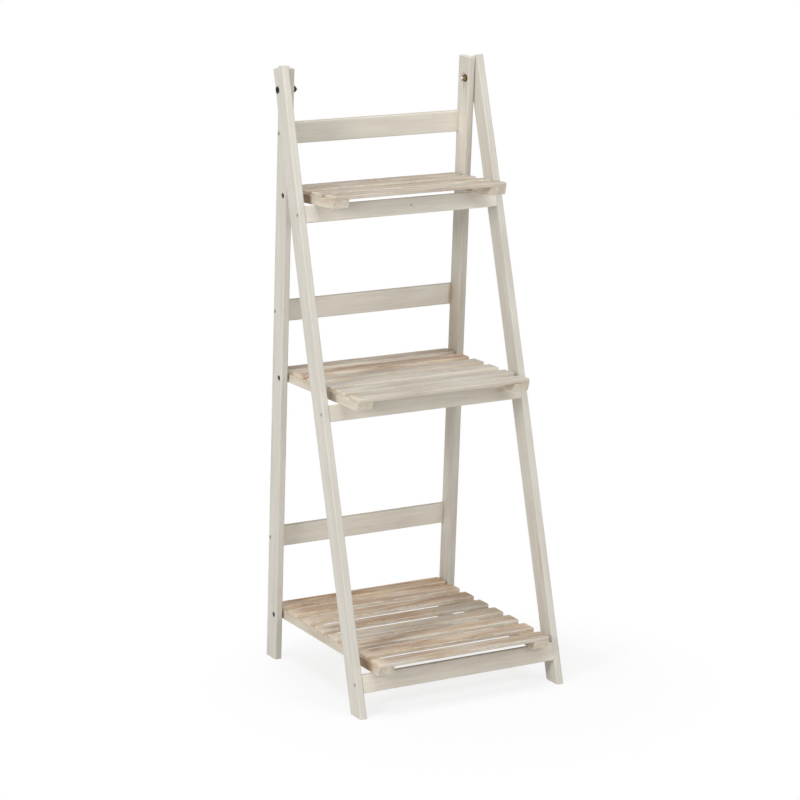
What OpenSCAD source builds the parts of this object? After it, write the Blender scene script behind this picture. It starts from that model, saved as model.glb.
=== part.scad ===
// Folding plant ladder: a leaning front frame, a rear frame and three slatted
// shelves. The shelves hinge on the rear legs and rest on the front rungs.
// Millimetres. +Z is up, the front is at -Y, and the origin is on the floor
// under the middle of the stand. The stand is drawn open.

/* [Frames] */
// Width over the outer faces of the front legs
stand_w = 406; // [340:1:480]
// Height of the front legs' top front corners
stand_h = 1080; // [1060:5:1160]
// Lean of the front frame from the vertical, in degrees
front_lean = 15.25; // [13.5:0.25:17]
// Lean of the rear frame from the vertical, in degrees
rear_lean = 3.25; // [2:0.25:5]

/* [Legs] */
// Width of a leg, seen from the side
leg_w = 36; // [34:1:42]
// Thickness of a leg
leg_t = 13; // [11:0.5:18]
// Radius that eases the long edges of legs, rails and rungs
edge_r = 2; // [0.5:0.5:3]

/* [Top pivot] */
// Distance from the pivot to the square tops of the legs
pivot_from_top = 37; // [30:1:44]
// Distance from the front legs' rear faces to the pivot
front_hole_in = 9; // [6:0.5:11]
// Distance from the rear legs' front faces to the pivot
rear_hole_in = 10; // [8:0.5:11]
// Gap between a front leg and a rear leg, below the front leg's bend
leg_gap = 5; // [3.5:0.25:7]
// Gap between their tops, where the bolt draws the front leg in
top_gap = 0.5; // [0.4:0.1:2]
// Diameter of the bolt's shank
bolt_d = 6; // [5:0.5:7]
// Diameter of the bolt's domed head
bolt_head_d = 13; // [11:0.5:14]
// Height of the bolt's domed head
bolt_head_h = 3.5; // [2.5:0.25:4.5]
// Diameter of the pivot's washers
washer_d = 14; // [12:0.5:15]
// Thickness of the washer under the nut
washer_t = 1.2; // [0.8:0.1:2]
// Width of the nut across its flats
nut_af = 10; // [9:0.5:11]
// Thickness of the nut
nut_t = 5; // [4:0.25:6]
// Diameter of the flat round face at the nut's ends
nut_face_d = 9.5; // [8.5:0.1:9.8]
// Height of the chamfer on the nut's corners
nut_chamfer = 0.6; // [0.3:0.1:1]
// Length of bolt that stands out of the nut
bolt_tip = 3.5; // [2:0.25:5]
// Chamfer on the ends of bolts and pivot screws
tip_chamfer = 0.6; // [0.2:0.1:1]

/* [Rear rails] */
// Height of a rail
rail_h = 38; // [30:1:44]
// Thickness of a rail
rail_t = 10; // [8:0.5:11]
// Middle of the bottom rail, along the rear legs from the floor
rail_bottom_s = 226; // [200:1:260]
// Middle of the middle rail
rail_middle_s = 644; // [620:1:680]
// Distance from the top pivot down to the middle of the top rail
rail_top_drop = 80; // [60:1:100]

/* [Front rungs] */
// Height of the top and middle rungs
rung_h = 29; // [24:1:34]
// Height of the bottom rung
bottom_rung_h = 32; // [24:1:36]
// Thickness of a rung
rung_t = 13; // [10:0.5:16]

/* [Shelves] */
// Width of a slat
slat_w = 32; // [28:0.5:36]
// Thickness of a slat
slat_t = 7; // [6:0.5:9]
// Gap between slats
slat_gap = 20; // [16:0.5:24]
// Radius that eases a slat's long edges
slat_r = 1.5; // [0.5:0.25:2.5]
// Width of a cleat under the slats' ends
cleat_w = 29; // [20:1:34]
// Height of a cleat
cleat_h = 14.5; // [12:0.5:16]
// Setback of the lower corner of a cleat's slanted front end
cleat_slant = 5.5; // [2:0.5:8]
// Distance from the top of a cleat down to its pivot
pivot_in_cleat = 6; // [5:0.5:8]
// Distance from a shelf's pivot to its rear edge
rear_overhang = 27; // [24:1:30]
// Gap between a shelf and a rear leg, filled by a washer
shelf_gap = 3; // [1.5:0.25:4]
// Number of slats in the top shelf
top_slats = 4; // [3:1:4]
// Number of slats in the middle shelf
middle_slats = 6; // [5:1:6]
// Number of slats in the bottom shelf
bottom_slats = 8; // [7:1:8]
// Distance from the top pivot down to the top shelf's pivot
top_shelf_drop = 185; // [178:1:200]
// Pivot of the middle shelf, along the rear legs from the floor
middle_shelf_s = 528; // [510:1:545]
// Pivot of the bottom shelf, along the rear legs from the floor
bottom_shelf_s = 85.5; // [70:0.5:100]
// Tilt of the top shelf, front edge up, in degrees
top_tilt = 2.6; // [0:0.1:3.5]
// Tilt of the middle shelf
middle_tilt = 0.4; // [-1:0.1:2]
// Tilt of the bottom shelf
bottom_tilt = -0.4; // [-1:0.1:2]

/* [Shelf pivot screws] */
// Diameter of a pivot screw's shank
pin_d = 5; // [4:0.25:5.5]
// Diameter of its domed head
pin_head_d = 8.5; // [7.5:0.25:10]
// Height of its domed head
pin_head_h = 2.4; // [1.8:0.1:2.8]
// Depth of the round recess in the rear leg that its head sits in
pin_sink = 3; // [2.8:0.1:4]
// Radial clearance of its head in that recess
pin_head_gap = 0.4; // [0.3:0.1:1]
// Depth that it reaches into the cleat
pin_depth = 22; // [15:1:26]
// Diameter of the washer between rear leg and cleat
pin_washer_d = 11; // [8:0.5:11.5]

/* [Wood screws] */
// Diameter of a wood screw's shank
screw_d = 3.5; // [3:0.25:4.5]
// Diameter of its countersunk head
screw_head_d = 7; // [6:0.25:8]
// Height of its countersunk head
screw_head_h = 2.6; // [2:0.1:3.5]
// Length of a wood screw
screw_l = 40; // [30:1:50]
// Length of its tapered point
screw_point = 6; // [4:0.5:9]
// Depth of a countersunk head below the wood
screw_sink = 0.4; // [0:0.1:1]
// Distance from the front legs' front faces to the rung screws
rung_screw_in = 6.5; // [5:0.5:8]
// Distance from the rear legs' rear faces to the rail screws
rail_screw_in = 5.5; // [4:0.5:6]

/* [Clearances] */
// Radial clearance between a shank and its bore
bore_gap = 0.06; // [0.03:0.01:0.09]
// Gap between a shelf's underside and its rung
rest_gap = 0.2; // [0.1:0.05:0.4]

/* [Hidden] */
SIDES = [-1, 1];
ROUND = 48;
// How far a cut runs on past the face where it starts or ends
cut_past = 1;

// ---- heights along the legs -------------------------------------------------
front_len = stand_h / cos(front_lean);
front_pivot_s = front_len - pivot_from_top;
front_pivot_in = leg_w - front_hole_in;
rear_pivot_in = leg_w - rear_hole_in;
// The top pivot, from the front feet's front corners
pivot_y = front_pivot_s * sin(front_lean) + front_pivot_in * cos(front_lean);
pivot_z = front_pivot_s * cos(front_lean) - front_pivot_in * sin(front_lean);
rear_pivot_s = (pivot_z + rear_pivot_in * sin(rear_lean)) / cos(rear_lean);
rear_len = rear_pivot_s + pivot_from_top;
rail_top_s = rear_pivot_s - rail_top_drop;
top_shelf_s = rear_pivot_s - top_shelf_drop;
rear_foot_y = pivot_y + rear_pivot_s * sin(rear_lean) + rear_pivot_in * cos(rear_lean);

// ---- widths -------------------------------------------------------------
front_out_x = stand_w / 2;
front_in_x = front_out_x - leg_t;
rear_out_x = front_in_x - leg_gap;
rear_in_x = rear_out_x - leg_t;
shelf_x = rear_in_x - shelf_gap;

// ---- shelves ------------------------------------------------------------
// A shelf is [number of slats, pivot along the rear legs, tilt]
TOP = [top_slats, top_shelf_s, top_tilt];
MIDDLE = [middle_slats, middle_shelf_s, middle_tilt];
BOTTOM = [bottom_slats, bottom_shelf_s, bottom_tilt];
slat_pitch = slat_w + slat_gap;
cleat_under = cleat_h - pivot_in_cleat;
function shelf_depth(shelf) = shelf[0] * slat_pitch - slat_gap;
function shelf_front(shelf) = rear_overhang - shelf_depth(shelf);
// [y, z] of a shelf's pivot, from the front feet's front corners
function shelf_pivot(shelf) = [
  rear_foot_y - shelf[1] * sin(rear_lean) - rear_pivot_in * cos(rear_lean),
  shelf[1] * cos(rear_lean) - rear_pivot_in * sin(rear_lean)
];
function shelf_front_y(shelf) =
  shelf_pivot(shelf)[0] + shelf_front(shelf) * cos(shelf[2])
  + (pivot_in_cleat + slat_t) * sin(shelf[2]);

// A rung's rounded top front corner rests under its shelf's cleats: this is the
// height along the front legs at which that corner meets the tilted underside.
function rung_top(shelf) =
  let (
    up = [sin(shelf[2]), cos(shelf[2])],
    along = [sin(front_lean), cos(front_lean)],
    back = [cos(front_lean), -sin(front_lean)],
    underside = shelf_pivot(shelf) * up - cleat_under - rest_gap
  )
  edge_r + (underside - edge_r - edge_r * (back * up)) / (along * up);

// ---- drawn-in front legs ------------------------------------------------------
// From the middle rung to its top, each front leg bends inwards to its rear leg
// in one arc. bend_r is the inner face's radius. In whole millimetres, the arc
// and the straight part below it meet face to face.
bend_s = rung_top(MIDDLE);
bend_l = front_len - bend_s;
bend_r = round(bend_l / sin(2 * atan((leg_gap - top_gap) / bend_l)) - leg_t);
bend_angle = asin(bend_l / (bend_r + leg_t));
// Where a front leg's faces are, at a height along the leg
function face_x(r, s) =
  let (above = max(0, s - bend_s)) front_in_x - bend_r + sqrt(r * r - above * above);
function inner_x(s) = face_x(bend_r, s);
function outer_x(s) = face_x(bend_r + leg_t, s);
// Square seats on them for the bolt's head and for the washer between the legs
head_seat_x = outer_x(front_pivot_s - bolt_head_d / 2);
spacer_seat_x = inner_x(front_pivot_s + washer_d / 2);

// ---- the middle of the stand's depth ------------------------------------------
front_y = min(0, shelf_front_y(BOTTOM), shelf_front_y(MIDDLE), shelf_front_y(TOP));
middle_y = (front_y + rear_foot_y) / 2;

function shelf_nodes(name, shelf) = concat(
  [str("cleat_", name, "_left"), str("cleat_", name, "_right")],
  [for (i = [1:shelf[0]]) str("slat_", name, "_", i)],
  [str("shelf_screws_", name), str("shelf_spacers_", name)]
);

// ---- frames of reference --------------------------------------------------
// Front frame: y runs back from the front faces, z runs up along the legs
module in_front_frame() {
  translate([0, -middle_y, 0]) rotate([-front_lean, 0, 0]) children();
}

// Rear frame: y is 0 on the rear faces and negative inside the wood
module in_rear_frame() {
  translate([0, rear_foot_y - middle_y, 0]) rotate([rear_lean, 0, 0]) children();
}

// Shelf: the origin is on its pivot, y runs back along it, z is square to it
module on_shelf(shelf) {
  pivot = shelf_pivot(shelf);
  translate([0, pivot[0] - middle_y, pivot[1]]) rotate([-shelf[2], 0, 0]) children();
}

module at_top_pivot() {
  translate([0, pivot_y - middle_y, pivot_z]) children();
}

// Turns a shape drawn along +Z so that it runs from side x inwards
module inwards(side, x) {
  translate([side * x, 0, 0]) rotate([0, -90 * side, 0]) children();
}

// ---- boards -------------------------------------------------------------
// A rectangle from the origin with its corners rounded
module eased_rect(w, h, r) {
  translate([r, 0]) square([w - 2 * r, h]);
  translate([0, r]) square([w, h - 2 * r]);
  for (x = [r, w - r], y = [r, h - r])
    translate([x, y]) circle(r = r, $fn = ROUND);
}

// A board across the stand, from y and z, with eased long edges
module cross_board(half_length, depth, height, r) {
  translate([-half_length, 0, 0]) rotate([90, 0, 90])
    linear_extrude(2 * half_length) eased_rect(depth, height, r);
}

// A leg from its top down, its foot run on below the floor for the level cut
module leg_board(x, y, length) {
  foot_reach = leg_w;
  translate([x, y, length]) mirror([0, 0, 1])
    linear_extrude(length + foot_reach) eased_rect(leg_t, leg_w, edge_r);
}

// The right front leg: straight, then bent inwards to its top
module drawn_in_board() {
  leg_board(front_in_x, 0, bend_s);
  translate([front_in_x - bend_r, 0, bend_s]) rotate([90, 0, 0])
    rotate_extrude(angle = bend_angle, $fn = ROUND)
      translate([bend_r, -leg_w]) eased_rect(leg_t, leg_w, edge_r);
}

module above_floor() {
  half = stand_h;
  intersection() {
    children();
    translate([-half, -half, 0]) cube([2 * half, 2 * half, 2 * half]);
  }
}

// ---- fasteners ------------------------------------------------------------
// Domed head on a shank, from the head's flat underside up along the shank
module domed_pin(head_d, head_h, shank_d, shank_l) {
  dome_r = (head_d * head_d / 4 + head_h * head_h) / (2 * head_h);
  rotate_extrude($fn = ROUND) polygon([
    [0, 0],
    [shank_d / 2, 0],
    [shank_d / 2, shank_l - tip_chamfer],
    [shank_d / 2 - tip_chamfer, shank_l],
    [0, shank_l]
  ]);
  intersection() {
    translate([0, 0, dome_r - head_h]) sphere(r = dome_r, $fn = 2 * ROUND);
    translate([0, 0, -head_h]) cylinder(d = head_d, h = head_h, $fn = ROUND);
  }
}

module ring(outer_d, bore_d, height) {
  difference() {
    cylinder(d = outer_d, h = height, $fn = ROUND);
    translate([0, 0, -cut_past])
      cylinder(d = bore_d, h = height + 2 * cut_past, $fn = ROUND);
  }
}

// Countersunk screw, head first, from the face of the wood up into it. A gap
// above 0 makes the hole that the screw sits in.
module wood_screw(gap = 0) {
  head_r = screw_head_d / 2 + gap;
  shank_r = screw_d / 2 + gap;
  body_l = screw_l - screw_point;
  mouth = gap > 0 ? -screw_sink - cut_past : 0;
  translate([0, 0, screw_sink]) rotate_extrude($fn = ROUND) polygon([
    [0, mouth],
    [head_r, mouth],
    [head_r, 0],
    [shank_r, screw_head_h + gap],
    [shank_r, body_l + gap],
    [0, screw_l + gap]
  ]);
}

function rung_mid(top, height) = top - height / 2;
RUNG_SCREW_S = [
  rung_mid(rung_top(TOP), rung_h),
  rung_mid(rung_top(MIDDLE), rung_h),
  rung_mid(rung_top(BOTTOM), bottom_rung_h)
];
RAIL_SCREW_S = [rail_top_s, rail_middle_s, rail_bottom_s];

module rung_screw_set(gap = 0) {
  in_front_frame() for (side = SIDES, s = RUNG_SCREW_S)
    translate([0, rung_screw_in, s]) inwards(side, outer_x(s)) wood_screw(gap);
}

module rail_screw_set(gap = 0) {
  in_rear_frame() for (side = SIDES, s = RAIL_SCREW_S)
    translate([0, -rail_screw_in, s]) inwards(side, rear_out_x) wood_screw(gap);
}

// ---- front frame ----------------------------------------------------------
module front_leg(side) {
  mirrored = side < 0 ? 1 : 0;
  color("#e6dfd0") difference() {
    above_floor() in_front_frame() mirror([mirrored, 0, 0]) drawn_in_board();
    rung_screw_set(bore_gap);
    at_top_pivot() inwards(side, front_out_x)
      cylinder(d = bolt_d + 2 * bore_gap, h = leg_t + leg_gap, $fn = ROUND);
  }
}

module front_rung(shelf, height) {
  color("#dcd4c4") difference() {
    in_front_frame() translate([0, 0, rung_top(shelf) - height])
      cross_board(inner_x(rung_top(shelf)), rung_t, height, edge_r);
    rung_screw_set(bore_gap);
  }
}

module rung_screws() {
  color("#4a4642") rung_screw_set();
}

// ---- rear frame -----------------------------------------------------------
module rear_leg(side) {
  left_x = side < 0 ? -rear_out_x : rear_in_x;
  color("#e2dacb") difference() {
    above_floor() in_rear_frame() leg_board(left_x, -leg_w, rear_len);
    rail_screw_set(bore_gap);
    at_top_pivot() inwards(side, rear_out_x + cut_past)
      cylinder(d = bolt_d + 2 * bore_gap, h = leg_t + 2 * cut_past, $fn = ROUND);
    for (shelf = [TOP, MIDDLE, BOTTOM])
      on_shelf(shelf) inwards(side, rear_out_x + cut_past) {
        cylinder(d = pin_d + 2 * bore_gap, h = leg_t + 2 * cut_past, $fn = ROUND);
        cylinder(d = pin_head_d + 2 * pin_head_gap, h = pin_sink + cut_past, $fn = ROUND);
      }
  }
}

module rear_rail(middle_s) {
  color("#ddd5c5") difference() {
    in_rear_frame() translate([0, -rail_t, middle_s - rail_h / 2])
      cross_board(rear_in_x, rail_t, rail_h, edge_r);
    rail_screw_set(bore_gap);
  }
}

module rail_screws() {
  color("#4a4642") rail_screw_set();
}

module pivot_bolts() {
  shank_l = head_seat_x - rear_in_x + washer_t + nut_t + bolt_tip;
  color("#2e2b29") at_top_pivot() for (side = SIDES)
    inwards(side, head_seat_x) domed_pin(bolt_head_d, bolt_head_h, bolt_d, shank_l);
}

module pivot_spacers() {
  spacer_t = spacer_seat_x - rear_out_x;
  color("#8d8a84") at_top_pivot() for (side = SIDES)
    inwards(side, spacer_seat_x) ring(washer_d, bolt_d + 2 * bore_gap, spacer_t);
}

module nut_washers() {
  color("#a9a59c") at_top_pivot() for (side = SIDES)
    inwards(side, rear_in_x) ring(washer_d, bolt_d + 2 * bore_gap, washer_t);
}

// Hexagon nut whose corners are turned down at both ends
module nut() {
  face_r = nut_face_d / 2;
  corner_r = face_r + nut_chamfer / tan(30);
  difference() {
    intersection() {
      cylinder(d = nut_af / cos(30), h = nut_t, $fn = 6);
      rotate_extrude($fn = ROUND) polygon([
        [0, 0],
        [face_r, 0],
        [corner_r, nut_chamfer],
        [corner_r, nut_t - nut_chamfer],
        [face_r, nut_t],
        [0, nut_t]
      ]);
    }
    translate([0, 0, -cut_past])
      cylinder(d = bolt_d + 2 * bore_gap, h = nut_t + 2 * cut_past, $fn = ROUND);
  }
}

module pivot_nuts() {
  color("#b9a36b") at_top_pivot() for (side = SIDES)
    inwards(side, rear_in_x - washer_t) nut();
}

// ---- shelves ------------------------------------------------------------
module cleat(shelf, side) {
  left_x = side < 0 ? -shelf_x : shelf_x - cleat_w;
  front = shelf_front(shelf);
  color("#cfc4ae") on_shelf(shelf) difference() {
    translate([left_x, 0, 0]) rotate([90, 0, 90]) linear_extrude(cleat_w) polygon([
      [front, pivot_in_cleat],
      [front + cleat_slant, -cleat_under],
      [rear_overhang, -cleat_under],
      [rear_overhang, pivot_in_cleat]
    ]);
    inwards(side, shelf_x + cut_past)
      cylinder(d = pin_d + 2 * bore_gap, h = pin_depth + cut_past + bore_gap, $fn = ROUND);
  }
}

// Slats count from the front edge
module slat(shelf, number) {
  color("#d9cfbd") on_shelf(shelf)
    translate([0, shelf_front(shelf) + (number - 1) * slat_pitch, pivot_in_cleat])
      cross_board(shelf_x, slat_w, slat_t, slat_r);
}

module shelf_screws(shelf) {
  shank_l = leg_t - pin_sink + shelf_gap + pin_depth;
  color("#34312e") on_shelf(shelf) for (side = SIDES)
    inwards(side, rear_out_x - pin_sink)
      domed_pin(pin_head_d, pin_head_h, pin_d, shank_l);
}

module shelf_spacers(shelf) {
  color("#8d8a84") on_shelf(shelf) for (side = SIDES)
    inwards(side, rear_in_x) ring(pin_washer_d, pin_d + 2 * bore_gap, shelf_gap);
}

module shelf(name, shelf) {
  cleat(shelf, -1);
  cleat(shelf, 1);
  for (i = [1:shelf[0]])
    slat(shelf, i);
  shelf_screws(shelf);
  shelf_spacers(shelf);
}

front_leg(-1);  // front_leg_left
front_leg(1);  // front_leg_right
front_rung(TOP, rung_h);  // front_rung_top
front_rung(MIDDLE, rung_h);  // front_rung_middle
front_rung(BOTTOM, bottom_rung_h);  // front_rung_bottom
rung_screws();
rear_leg(-1);  // rear_leg_left
rear_leg(1);  // rear_leg_right
rear_rail(rail_top_s);  // rear_rail_top
rear_rail(rail_middle_s);  // rear_rail_middle
rear_rail(rail_bottom_s);  // rear_rail_bottom
rail_screws();
pivot_bolts();
pivot_spacers();
nut_washers();
pivot_nuts();
shelf("top", TOP);
shelf("middle", MIDDLE);
shelf("bottom", BOTTOM);
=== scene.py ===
"""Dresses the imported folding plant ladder: whitewashed boards, irregular slats,
recessed screw heads, threaded bolt ends and brads, on a pale studio floor."""
import math

import bmesh
import bpy
from mathutils import Matrix, Vector, noise


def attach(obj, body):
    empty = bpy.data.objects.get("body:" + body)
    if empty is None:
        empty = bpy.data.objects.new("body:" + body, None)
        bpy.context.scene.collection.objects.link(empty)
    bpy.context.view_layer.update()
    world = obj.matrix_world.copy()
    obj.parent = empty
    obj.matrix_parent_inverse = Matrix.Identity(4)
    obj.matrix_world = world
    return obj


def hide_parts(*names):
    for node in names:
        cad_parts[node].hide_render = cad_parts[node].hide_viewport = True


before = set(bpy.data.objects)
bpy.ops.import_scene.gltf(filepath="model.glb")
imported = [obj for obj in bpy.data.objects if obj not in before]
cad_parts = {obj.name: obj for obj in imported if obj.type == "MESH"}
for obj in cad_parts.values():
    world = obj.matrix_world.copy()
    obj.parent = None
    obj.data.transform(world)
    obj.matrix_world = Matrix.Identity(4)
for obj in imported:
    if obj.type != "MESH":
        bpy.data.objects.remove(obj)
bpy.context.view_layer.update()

MM = 0.001

# ---- where the boards lie ------------------------------------------------------
FRONT_LEAN = math.radians(15.25)
REAR_LEAN = math.radians(-3.25)
TILT = {
    "top": math.radians(2.6),
    "middle": math.radians(0.4),
    "bottom": math.radians(-0.4),
}
SLATS = {"top": 4, "middle": 6, "bottom": 8}
# How far the bolts draw the front legs' tops inwards
DRAWN_IN = 4.5 * MM
X = Vector((1, 0, 0))


def up_axis(lean):
    """The direction that leans back from the vertical by this angle."""
    return Vector((0, math.sin(lean), math.cos(lean)))


def back_axis(lean):
    """The direction square to up_axis(lean), towards the back."""
    return Vector((0, math.cos(lean), -math.sin(lean)))


def leg_axes(lean):
    return up_axis(lean), back_axis(lean), -X


def cross_axes(lean):
    return X, up_axis(lean), -back_axis(lean)


def slat_axes(tilt):
    return X, back_axis(tilt), up_axis(tilt)


def cleat_axes(tilt):
    return back_axis(tilt), -X, up_axis(tilt)


class Board:
    """A board's own frame: grain, width and thickness axes, centre and half sizes.
    From bend_from upwards along the grain, its thickness axis shifts by bend times
    the square of the distance."""

    def __init__(self, node, axes):
        self.node = node
        self.turn = Matrix(axes)
        points = [self.turn @ v.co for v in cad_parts[node].data.vertices]
        low = Vector([min(p[i] for p in points) for i in range(3)])
        high = Vector([max(p[i] for p in points) for i in range(3)])
        self.middle = (low + high) / 2
        self.half = (high - low) / 2
        self.bend = 0.0
        self.bend_from = 0.0

    def place(self, u, v, w):
        """A point given along the board's axes from its centre, in the row frame."""
        return self.turn.transposed() @ (Vector((u, v, w)) + self.middle)


def all_boards():
    """Every board's name and axes."""
    for side in ("left", "right"):
        yield "front_leg_" + side, leg_axes(FRONT_LEAN)
        yield "rear_leg_" + side, leg_axes(REAR_LEAN)
    for level, tilt in TILT.items():
        yield "front_rung_" + level, cross_axes(FRONT_LEAN)
        yield "rear_rail_" + level, cross_axes(REAR_LEAN)
        for side in ("left", "right"):
            yield f"cleat_{level}_{side}", cleat_axes(tilt)
        for number in range(1, SLATS[level] + 1):
            yield f"slat_{level}_{number}", slat_axes(tilt)


BOARDS = {name: Board(name, axes) for name, axes in all_boards()}

# The front legs are straight up to the middle rung's top and bent above it. Their
# outer faces are upright below, and they are as thick as the straight rear legs.
middle_rung = BOARDS["front_rung_middle"]
for side, sign in (("left", 1), ("right", -1)):
    leg = BOARDS["front_leg_" + side]
    outer_face = leg.middle[2] + sign * leg.half[2]
    leg.half[2] = BOARDS["rear_leg_" + side].half[2]
    leg.middle[2] = outer_face - sign * leg.half[2]
    leg.bend_from = middle_rung.middle[1] + middle_rung.half[1] - leg.middle[0]
    leg.bend = sign * DRAWN_IN / (leg.half[0] - leg.bend_from) ** 2


# ---- shader helpers --------------------------------------------------------------
def srgb(red, green, blue):
    """A display colour, 0 to 255 a channel, as linear RGBA."""

    def linear(c):
        c /= 255
        return c / 12.92 if c <= 0.04045 else ((c + 0.055) / 1.055) ** 2.4

    return (linear(red), linear(green), linear(blue), 1.0)


class Nodes:
    """Short calls that add shader nodes to one tree and link them."""

    def __init__(self, tree):
        self.tree = tree

    def add(self, kind, **settings):
        node = self.tree.nodes.new(kind)
        for key, value in settings.items():
            setattr(node, key, value)
        return node

    def put(self, socket, value):
        if isinstance(value, bpy.types.NodeSocket):
            self.tree.links.new(value, socket)
        elif value is not None:
            socket.default_value = value

    def math(self, operation, a, b=None, clamp=False):
        node = self.add("ShaderNodeMath", operation=operation, use_clamp=clamp)
        self.put(node.inputs[0], a)
        self.put(node.inputs[1], b)
        return node.outputs[0]

    def plus(self, total, *others):
        for other in others:
            total = self.math("ADD", total, other)
        return total

    def minus(self, a, b):
        return self.math("SUBTRACT", a, b)

    def times(self, product, *others):
        for other in others:
            product = self.math("MULTIPLY", product, other)
        return product

    def over(self, a, b):
        return self.math("DIVIDE", a, b)

    def vector(self, operation, a, b=None):
        node = self.add("ShaderNodeVectorMath", operation=operation)
        self.put(node.inputs[0], a)
        self.put(node.inputs[1], b)
        return node.outputs["Value" if operation in ("LENGTH", "DOT_PRODUCT") else "Vector"]

    def combine(self, x, y, z):
        node = self.add("ShaderNodeCombineXYZ")
        for socket, value in zip(node.inputs, (x, y, z)):
            self.put(socket, value)
        return node.outputs[0]

    def split(self, vector):
        node = self.add("ShaderNodeSeparateXYZ")
        self.put(node.inputs[0], vector)
        return node.outputs

    def ramp(self, value, low, high, to_low=0.0, to_high=1.0):
        """A smooth step of a value from one range to another."""
        node = self.add("ShaderNodeMapRange", interpolation_type="SMOOTHSTEP")
        for socket, number in zip(node.inputs, (value, low, high, to_low, to_high)):
            self.put(socket, number)
        return node.outputs[0]

    def mix(self, factor, a, b, blend="MIX"):
        node = self.add("ShaderNodeMix", data_type="RGBA", blend_type=blend)
        for index, value in ((0, factor), (6, a), (7, b)):
            self.put(node.inputs[index], value)
        return node.outputs[2]

    def noise(self, vector, scale=1.0, detail=3.0, rough=0.5, distortion=0.0):
        node = self.add("ShaderNodeTexNoise")
        for name, value in (
            ("Vector", vector),
            ("Scale", scale),
            ("Detail", detail),
            ("Roughness", rough),
            ("Distortion", distortion),
        ):
            self.put(node.inputs[name], value)
        return node.outputs["Fac"]

    def bump(self, height, strength, distance):
        node = self.add("ShaderNodeBump")
        self.put(node.inputs["Strength"], strength)
        self.put(node.inputs["Distance"], distance)
        self.put(node.inputs["Height"], height)
        return node.outputs[0]


def new_material(name):
    """A material, the calls that add nodes to it, and its Principled shader."""
    made = bpy.data.materials.new(name)
    made.use_nodes = True
    return made, Nodes(made.node_tree), made.node_tree.nodes["Principled BSDF"]


# ---- whitewashed wood --------------------------------------------------------------
WOOD_LIGHT = srgb(222, 191, 156)
WOOD_DARK = srgb(164, 122, 88)
WOOD_END = srgb(208, 184, 154)
WASH_WHITE = srgb(238, 234, 225)
WASH_GREY = srgb(216, 209, 197)
PORE = srgb(112, 86, 64)
# Noise in the wood: size along and across the grain in millimetres, shift of the
# seed, detail, roughness and distortion
WOOD_NOISE = {
    "drift": (160, 60, 3.1, 1.5, 0.5, 0.0),
    "wobble": (55, 9, 7.7, 2, 0.5, 0.0),
    "fibre": (46, 0.9, 0.0, 4, 0.62, 0.0),
    "fine": (13, 0.38, 5.0, 2, 0.6, 0.0),
    "tone": (130, 22, 11.0, 3, 0.55, 0.0),
    "pores": (9, 0.33, 2.0, 1, 0.5, 0.0),
    "ragged": (7, 2.2, 51.0, 3, 0.65, 0.0),
    "streak": (150, 6.0, 17.0, 3, 0.6, 0.3),
    "patch": (110, 17, 29.0, 3, 0.55, 0.0),
    "worn": (28, 4, 37.0, 3, 0.5, 0.0),
    "broken": (8, 2.6, 61.0, 3, 0.65, 0.0),
    "grey": (110, 4.5, 43.0, 3, 0.5, 0.0),
}
# Growth rings, in millimetres: their spacing, how far below the board their heart
# lies, and how far it stands to the side and wanders
RING_SPACING = 3.4
HEART_DEPTH = 26
HEART_ASIDE = 12
HEART_DRIFT = 46
RING_WOBBLE = 1.6
# How raggedly the wash ends on the narrow faces
RAGGED_EDGE = 3.4


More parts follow.
